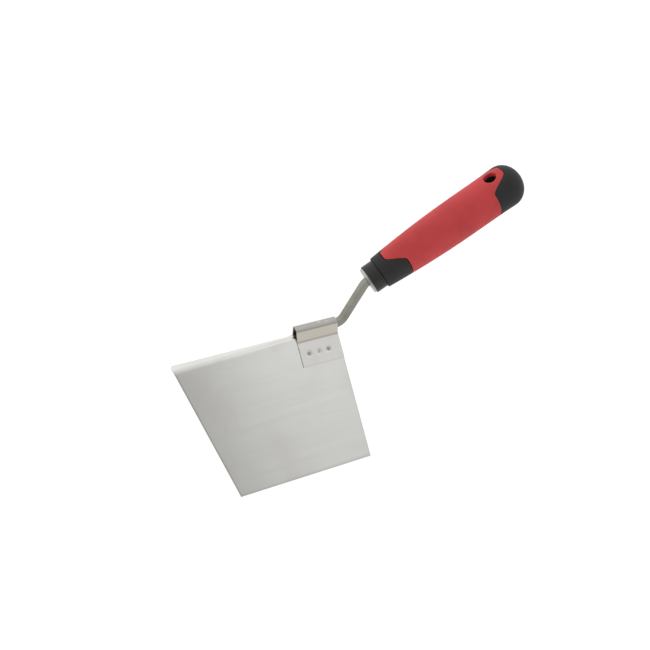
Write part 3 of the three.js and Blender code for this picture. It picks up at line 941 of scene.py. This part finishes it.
def drilled(around, station, radius_at, row, column):
    """Opens a round hole across the axis in a grid round the handle.
    Points near it move onto rings: place = middle + ring radius times the point's direction on
    the grid, blended back to the plain grid further out. The innermost rings follow a quarter
    circle down into the hole. Returns the moved angles, stations and radii, and the cells that
    stay."""
    handle = settings().handle
    rows, columns = around.shape
    rim = 0.6 * MM
    i = (np.arange(rows)[:, None] - row + rows // 2) % rows - rows // 2
    j = np.arange(columns)[None, :] - column
    i, j = np.broadcast_arrays(i, j)
    ring = np.maximum(np.abs(i), np.abs(j))
    size = np.maximum(np.hypot(i, j), 1)
    turn = np.clip((ring - HOLE_RINGS) / RIM_RINGS, 0, 1) * RIGHT_ANGLE
    spacing = station[row, column + 1] - station[row, column]
    outside = np.maximum(ring - HOLE_RINGS - RIM_RINGS, 0) * spacing
    ring_radius = handle.hole_radius + rim * (1 - np.cos(turn)) + outside
    sink = np.where(ring <= HOLE_RINGS + RIM_RINGS, rim * (1 - np.sin(turn)), 0)
    base = radius_at(station)
    middle = around[row, 0]
    local = (around - middle + math.pi) % (2 * math.pi) - math.pi
    back = smooth(ring, HOLE_RINGS + RIM_RINGS, MOVED_RINGS)
    side = (1 - back) * ring_radius * i / size + back * base * np.sin(local)
    moved = (1 - back) * (handle.hole_at + ring_radius * j / size) + back * station
    radius = radius_at(moved)
    near = ring < MOVED_RINGS
    turned = middle + np.arcsin(np.clip(side / radius, -1, 1))
    around = np.where(near, turned, around)
    station = np.where(near, moved, station)
    radius = np.where(near, radius - sink, base)
    cell_i, cell_j = i + 0.5, j[:, :-1] + 0.5
    keep = np.maximum(np.abs(cell_i[:, :-1]), np.abs(cell_j)) > HOLE_RINGS
    return around, station, radius, keep


def sunk_edge(distance, width):
    """How far a surface drops into a seam: a parabola over its width."""
    return SEAM_DEPTH * np.clip(1 - distance / width, 0, 1) ** 2


class TROWEL_OT_core(bpy.types.Operator):
    """Moulds the hard core with its collar and hang hole, and the washer in the collar"""

    bl_idname = "trowel.core"
    bl_label = "Core and washer"

    def execute(self, context):
        """Core: one profile turned round the axis, from the bottom of the square socket out to
        the collar and back to the rear face, with a tube through it for the hang hole. Washer:
        a rounded rectangle turned round the axis, its inner side following the square bar."""
        handle, tang = settings().handle, settings().tang
        recess = WASHER_FRONT + WASHER_THICKNESS + SOFT_GAP
        washer = WASHER_RADIUS + SOFT_GAP
        chamfer = 0.7 * MM
        bevel = np.linspace(0, RIGHT_ANGLE, 5)
        collar_end = handle.collar
        last = handle.collar_radius
        lip = 0.35 * MM
        front = [
            (SOCKET_END, 0, 0),
            (SOCKET_END, SOCKET_HALF, 1),
            (recess + SOFT_GAP, SOCKET_HALF, 1),
            (recess, SOCKET_HALF + SOFT_GAP, 1),
            (recess, WASHER_RADIUS, 0),
            (COLLAR_FACE + SOFT_GAP, WASHER_RADIUS + 0.02 * MM, 0),
            (COLLAR_FACE, washer, 0),
            *[
                (COLLAR_FACE + chamfer * (1 - math.cos(a)), last - chamfer * (1 - math.sin(a)), 0)
                for a in bevel
            ],
            (collar_end * 0.5, last, 0),
            *[
                (collar_end - lip * (1 - math.sin(a)), last - lip * (1 - math.cos(a)), 0)
                for a in bevel
            ],
            (collar_end, core_radius(collar_end), 0),
            (CORE_TAPER_END, handle.core_radius, 0),
        ]
        station, radius, square = np.array(front).T
        behind = np.linspace(96 * MM, CORE_END, 44)
        station = np.concatenate([station, behind, [CORE_END]])
        radius = np.concatenate([radius, np.full(len(behind), handle.core_radius), [0]])
        square = np.concatenate([square, np.zeros(len(behind) + 1)])
        around = turns(len(station))
        on_square = square_radius(around, 1.0) * radius[None, :]
        radius = np.where(square[None, :] > 0, on_square, radius[None, :])
        station = np.repeat(station[None, :], AROUND, 0)
        column = len(front) + int(np.argmin(np.abs(behind - handle.hole_at)))
        keep = True
        for row in (0, AROUND // 2):
            ring_around, ring_station, ring_radius, kept = drilled(
                around, station, lambda s: np.full_like(s, handle.core_radius), row, column
            )
            near = np.abs((np.arange(AROUND) - row + AROUND // 2) % AROUND - AROUND // 2)
            near = (near[:, None] < MOVED_RINGS) & (
                np.abs(np.arange(station.shape[1]) - column)[None, :] < MOVED_RINGS
            )
            around = np.where(near, ring_around, around)
            station = np.where(near, ring_station, station)
            radius = np.where(near, ring_radius, radius)
            keep = keep & kept
        points = in_place(around, station, radius)
        quads = cells(*around.shape, True)[keep]
        tube = hole_tube(around.shape, column)
        add_piece(
            "core_moulding",
            (points.reshape(-1, 3), np.concatenate([quads, tube])),
            hard_plastic("hard black plastic", handle.hard_black, 0.42),
            ["handle_core"],
        )

        ease, inner_ease = 0.7 * MM, 0.2 * MM
        quarter = bevel[None, :]
        around = turns(1)
        inner = square_radius(around, SOCKET_HALF)
        near_low = inner + inner_ease * (1 - np.cos(quarter))
        near_turn = WASHER_FRONT + inner_ease * (1 - np.sin(quarter))
        far_low = WASHER_RADIUS - ease * (1 - np.cos(quarter[:, ::-1]))
        far_low = np.repeat(far_low, AROUND, 0)
        far_turn = WASHER_FRONT + ease * (1 - np.sin(quarter[:, ::-1]))
        shape_radius = np.concatenate([near_low, far_low, far_low[:, -1:], inner], 1)
        flat = [np.repeat(v, AROUND, 0) for v in (near_turn, far_turn)]
        back = np.full((AROUND, 2), WASHER_FRONT + WASHER_THICKNESS)
        shape_station = np.concatenate([*flat, back], 1)
        around = turns(shape_radius.shape[1])
        points = in_place(around, shape_station, shape_radius)
        add_piece(
            "collar_washer",
            (points.reshape(-1, 3), cells(*around.shape, True, True).reshape(-1, 4)),
            bar_steel("washer steel", WASHER_STEEL, 0.36),
            ["front_washer"],
        )
        return {"FINISHED"}


def hole_tube(shape, column):
    """Quads from the rim of the hang hole on top to the rim underneath. Both rims are squares
    of grid points, and each point on one meets the point straight across the axis."""
    side = np.arange(-HOLE_RINGS, HOLE_RINGS)
    edge = np.full_like(side, HOLE_RINGS)
    across = np.concatenate([side, edge, -side, -edge])
    along = np.concatenate([-edge, side, edge, -side])
    upper = across % AROUND * shape[1] + column + along
    lower = (AROUND // 2 - across) % AROUND * shape[1] + column + along
    ahead = np.roll(np.arange(len(across)), -1)
    return np.stack([upper[ahead], upper, lower, lower[ahead]], -1)


class TROWEL_OT_bolster(bpy.types.Operator):
    """Moulds the soft black bolster behind the collar"""

    bl_idname = "trowel.bolster"
    bl_label = "Bolster"

    def execute(self, context):
        """Body radius from the collar to the grip's wavy front edge, rounded at the collar and
        sunk into the seam at the grip, over the core's radius."""
        handle = settings().handle
        start = handle.collar + SOFT_GAP
        around = turns(1)[:, 0]
        end = grip_front(around) - EDGE_GAP
        edge_round = 0.7 * MM
        station, turn = eased(40, start, end, edge_round)
        station, turn = station[:, :-EDGE_STEPS], turn[:-EDGE_STEPS]
        around = turns(station.shape[1])
        radius = body_radius(station) - edge_round * (1 - np.sin(turn))[None, :]
        radius = radius - sunk_edge(end[:, None] - station, handle.seam)
        outer = in_place(around, station, radius)
        inner = in_place(around, station, core_radius(station) + SOFT_GAP)
        add_piece(
            "front_bolster",
            shell(outer, inner, wrap=True),
            soft_rubber("soft black rubber", handle.black, 0.62, 0.05),
            ["bolster"],
        )
        return {"FINISHED"}


class TROWEL_OT_grip(bpy.types.Operator):
    """Moulds the red grip round the hang hole"""

    bl_idname = "trowel.grip"
    bl_label = "Grip"

    def execute(self, context):
        """Body radius between the grip's two wavy edges, sunk into the seams, over the core's
        radius, with the hang hole opened in the tongue on top."""
        handle = settings().handle
        around = turns(1)[:, 0]
        front, rear = grip_front(around), grip_rear(around)
        t = np.linspace(0, 1, ALONG_HANDLE)[None, :]
        station = front[:, None] + (rear - front)[:, None] * t
        first, last = front[:, None] + SEAM_STATIONS, rear[:, None] - SEAM_STATIONS[::-1]
        station = np.concatenate([first, station[:, 1:-1], last], 1)
        around = turns(station.shape[1])
        column = int(np.argmin(np.abs(station[0] - handle.hole_at)))
        distance = np.minimum(station - front[:, None], rear[:, None] - station)
        sink = sunk_edge(distance, handle.seam)
        around, station, radius, keep = drilled(around, station, body_radius, 0, column)
        outer = in_place(around, station, radius - sink)
        across = radius * np.sin(around)
        inner_radius = core_radius(station) + SOFT_GAP
        inner_around = np.where(
            np.cos(around) > 0, np.arcsin(np.clip(across / inner_radius, -1, 1)), around
        )
        near = np.abs(around) < math.radians(48)
        inner = in_place(np.where(near, inner_around, around), station, inner_radius)
        add_piece(
            "red_grip",
            shell(outer, inner, keep, wrap=True),
            soft_rubber("soft red rubber", handle.red, 0.66, 0.02),
            ["grip_sleeve"],
        )
        return {"FINISHED"}


class TROWEL_OT_butt_cap(bpy.types.Operator):
    """Moulds the soft black cap over the butt"""

    bl_idname = "trowel.butt_cap"
    bl_label = "Butt cap"

    def execute(self, context):
        """Body radius from the grip's wavy rear edge to the pole of the dome, over the core's
        radius and its flat rear face, with the hang hole opened underneath."""
        handle = settings().handle
        around = turns(1)[:, 0]
        start = grip_rear(around) + EDGE_GAP
        first = start[:, None] + SEAM_STATIONS
        t = np.linspace(0, 1, 56)[None, 1:]
        along_dome = 6 * MM
        dome = handle.dome_start + along_dome
        flat = first[:, -1:] + (dome - first[:, -1:]) * t
        depth = handle.length - handle.dome_start
        turn = np.linspace(math.asin(along_dome / depth), RIGHT_ANGLE, 24)[1:]
        over = np.repeat((handle.dome_start + depth * np.sin(turn))[None, :], AROUND, 0)
        station = np.concatenate([first, flat, over], 1)
        around = turns(station.shape[1])
        row = AROUND // 2
        column = int(np.argmin(np.abs(station[row] - handle.hole_at)))
        sink = sunk_edge(station - start[:, None], handle.seam)
        around, station, radius, keep = drilled(around, station, body_radius, row, column)
        radius = radius - sink
        radius[:, -1] = 0
        outer = in_place(around, station, radius)
        under = np.abs(around) > math.radians(132)
        across = radius * np.sin(around)
        core, core_end = handle.core_radius + SOFT_GAP, CORE_END + SOFT_GAP
        inner_station = np.minimum(station, core_end)
        on_face = np.clip((handle.length - station) / (handle.length - core_end), 0, 1)
        inner_radius = np.where(station > core_end, core * np.sqrt(on_face), core)
        flat_turn = np.arcsin(np.clip(across / core, -1, 1))
        inner_around = np.where(under & (station < CORE_END), math.pi - flat_turn, around)
        inner = in_place(inner_around, inner_station, inner_radius)
        add_piece(
            "domed_butt_cap",
            shell(outer, inner, keep, wrap=True),
            soft_rubber("soft black cap rubber", handle.black, 0.62, 0.05),
            ["butt_cap"],
        )
        return {"FINISHED"}


# ---- stage -----------------------------------------------------------------------------------


class TROWEL_OT_stage(bpy.types.Operator):
    """Lays the floor and sets the light and the camera"""

    bl_idname = "trowel.stage"
    bl_label = "Stage"

    def execute(self, context):
        self.lay_floor()
        self.light_sky()
        self.hang_softbox()
        self.aim_camera()
        context.scene.view_settings.view_transform = "Standard"
        return {"FINISHED"}

    def lay_floor(self):
        """A flat grid at the height of the lowest CAD point."""
        floor_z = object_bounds()[0][2]
        line = np.linspace(-FLOOR_REACH, FLOOR_REACH, 5)
        x, y = np.meshgrid(line, line, indexing="ij")
        points = np.stack([x, y, np.full_like(x, floor_z)], -1)
        mesh = bpy.data.meshes.new("floor")
        mesh.from_pydata(points.reshape(-1, 3).tolist(), [], cells(5, 5).reshape(-1, 4).tolist())
        finish = Finish("pale floor", Metallic=0.0, Specular_IOR_Level=0.0, Roughness=0.9)
        finish.shader.inputs["Emission Strength"].default_value = FLOOR_GLOW
        finish.shader.inputs["Emission Color"].default_value = WHITE
        cloud = finish.noise(finish.place(), 3, 2)
        tint = settings().stage.floor
        shade = finish.blend(cloud, toned(tint, 1.0), toned(tint, 0.99))
        mesh.materials.append(finish.set(Base_Color=shade))
        floor = bpy.data.objects.new("floor", mesh)
        bpy.context.scene.collection.objects.link(floor)
        floor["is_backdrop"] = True

    def light_sky(self):
        """A grey sky, bright over the far side and dimmer over the near side: level = 1 + rise
        times y, up to a limit. Over the near side it is lifted towards the heel, more so higher
        up, and lowered towards the toe."""
        world = bpy.data.worlds.new("studio")
        world.use_nodes = True
        sky = Net(world.node_tree)
        place = sky.node("ShaderNodeTexCoord", output="Generated")
        x = sky.node("ShaderNodeSeparateXYZ", {}, {0: place}, output="X")
        y = sky.node("ShaderNodeSeparateXYZ", {}, {0: place}, output="Y")
        z = sky.node("ShaderNodeSeparateXYZ", {}, {0: place}, output="Z")
        near_side = 1 - sky.step(y, -0.4, 0.3)
        heelwards = sky.step(x, 0.10, 0.26)
        lifted = heelwards * (1 - sky.step(x, 0.40, 0.65))
        lifted = lifted * (SKY_LIFTED + SKY_LIFTED_BY_HEIGHT * (z - SKY_LIFTED_HEIGHT))
        lowered = SKY_LOWERED * (1 - heelwards)
        rising = {0: 1 + SKY_RISE * y, 1: SKY_MOST}
        plain_level = sky.node("ShaderNodeMath", {"operation": "MINIMUM"}, rising)
        level = plain_level + near_side * (lifted - lowered)
        light = sky.node("ShaderNodeBackground", {}, {"Color": WHITE, "Strength": level})
        output = sky.tree.nodes.new("ShaderNodeOutputWorld")
        sky.join(output.inputs["Surface"], light)
        bpy.context.scene.world = world

    def hang_softbox(self):
        """One large, weak softbox overhead, facing down."""
        lamp = bpy.data.lights.new("overhead softbox", "AREA")
        lamp.shape = "SQUARE"
        lamp.size = SOFTBOX_SIZE
        lamp.energy = SOFTBOX_POWER
        box = bpy.data.objects.new("overhead softbox", lamp)
        box.location = SOFTBOX_PLACE
        bpy.context.scene.collection.objects.link(box)

    def aim_camera(self):
        """Direction = azimuth and elevation round the target, then a roll about the view axis."""
        stage = settings().stage
        target = Vector((heel() - stage.target_before_heel, 0, ridge() + stage.target_above))
        flat = math.cos(stage.elevation)
        away = Vector(
            (
                -math.sin(stage.azimuth) * flat,
                -math.cos(stage.azimuth) * flat,
                math.sin(stage.elevation),
            )
        )
        right = (-away).cross(Vector((0, 0, 1))).normalized()
        up = right.cross(-away)
        cosine, sine = math.cos(stage.roll), math.sin(stage.roll)
        turned_right = cosine * right + sine * up
        turned_up = cosine * up - sine * right
        basis = Matrix((turned_right, turned_up, away)).transposed().to_4x4()
        lens = bpy.data.cameras.new("camera")
        lens.lens = stage.lens
        lens.sensor_width = 36
        lens.sensor_fit = "HORIZONTAL"
        lens.clip_start = 0.01
        lens.clip_end = 40
        camera = bpy.data.objects.new("camera", lens)
        camera.matrix_world = Matrix.Translation(target + away * stage.distance) @ basis
        bpy.context.scene.collection.objects.link(camera)
        bpy.context.scene.camera = camera


# ---- panel, registration and run -------------------------------------------------------------


BUILDERS = (
    TROWEL_OT_blade,
    TROWEL_OT_saddle,
    TROWEL_OT_welds,
    TROWEL_OT_tang,
    TROWEL_OT_core,
    TROWEL_OT_bolster,
    TROWEL_OT_grip,
    TROWEL_OT_butt_cap,
    TROWEL_OT_stage,
)


class TROWEL_PT_pieces(bpy.types.Panel):
    """Lists the pieces of the trowel and their settings"""

    bl_idname = "TROWEL_PT_pieces"
    bl_label = "Trowel"
    bl_space_type = "VIEW_3D"
    bl_region_type = "UI"
    bl_category = "Trowel"

    def draw(self, context):
        for builder in BUILDERS:
            self.layout.operator(builder.bl_idname)
        for name in TrowelSettings.__annotations__:
            box = self.layout.box()
            group = getattr(settings(), name)
            box.label(text=name.capitalize())
            for item in group.__annotations__:
                box.prop(group, item)


CLASSES = (
    TrowelBlade,
    TrowelSaddle,
    TrowelWelds,
    TrowelTang,
    TrowelHandle,
    TrowelStage,
    TrowelSettings,
    *BUILDERS,
    TROWEL_PT_pieces,
)


def register():
    for item in CLASSES:
        bpy.utils.register_class(item)
    bpy.types.Scene.trowel = PointerProperty(
        name="Trowel", description="Sizes and colours of the trowel", type=TrowelSettings
    )


def unregister():
    del bpy.types.Scene.trowel
    for item in reversed(CLASSES):
        bpy.utils.unregister_class(item)


def main():
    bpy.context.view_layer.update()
    register()
    for builder in BUILDERS:
        getattr(bpy.ops.trowel, builder.bl_idname.partition(".")[2])()


if __name__ == "__main__":
    main()
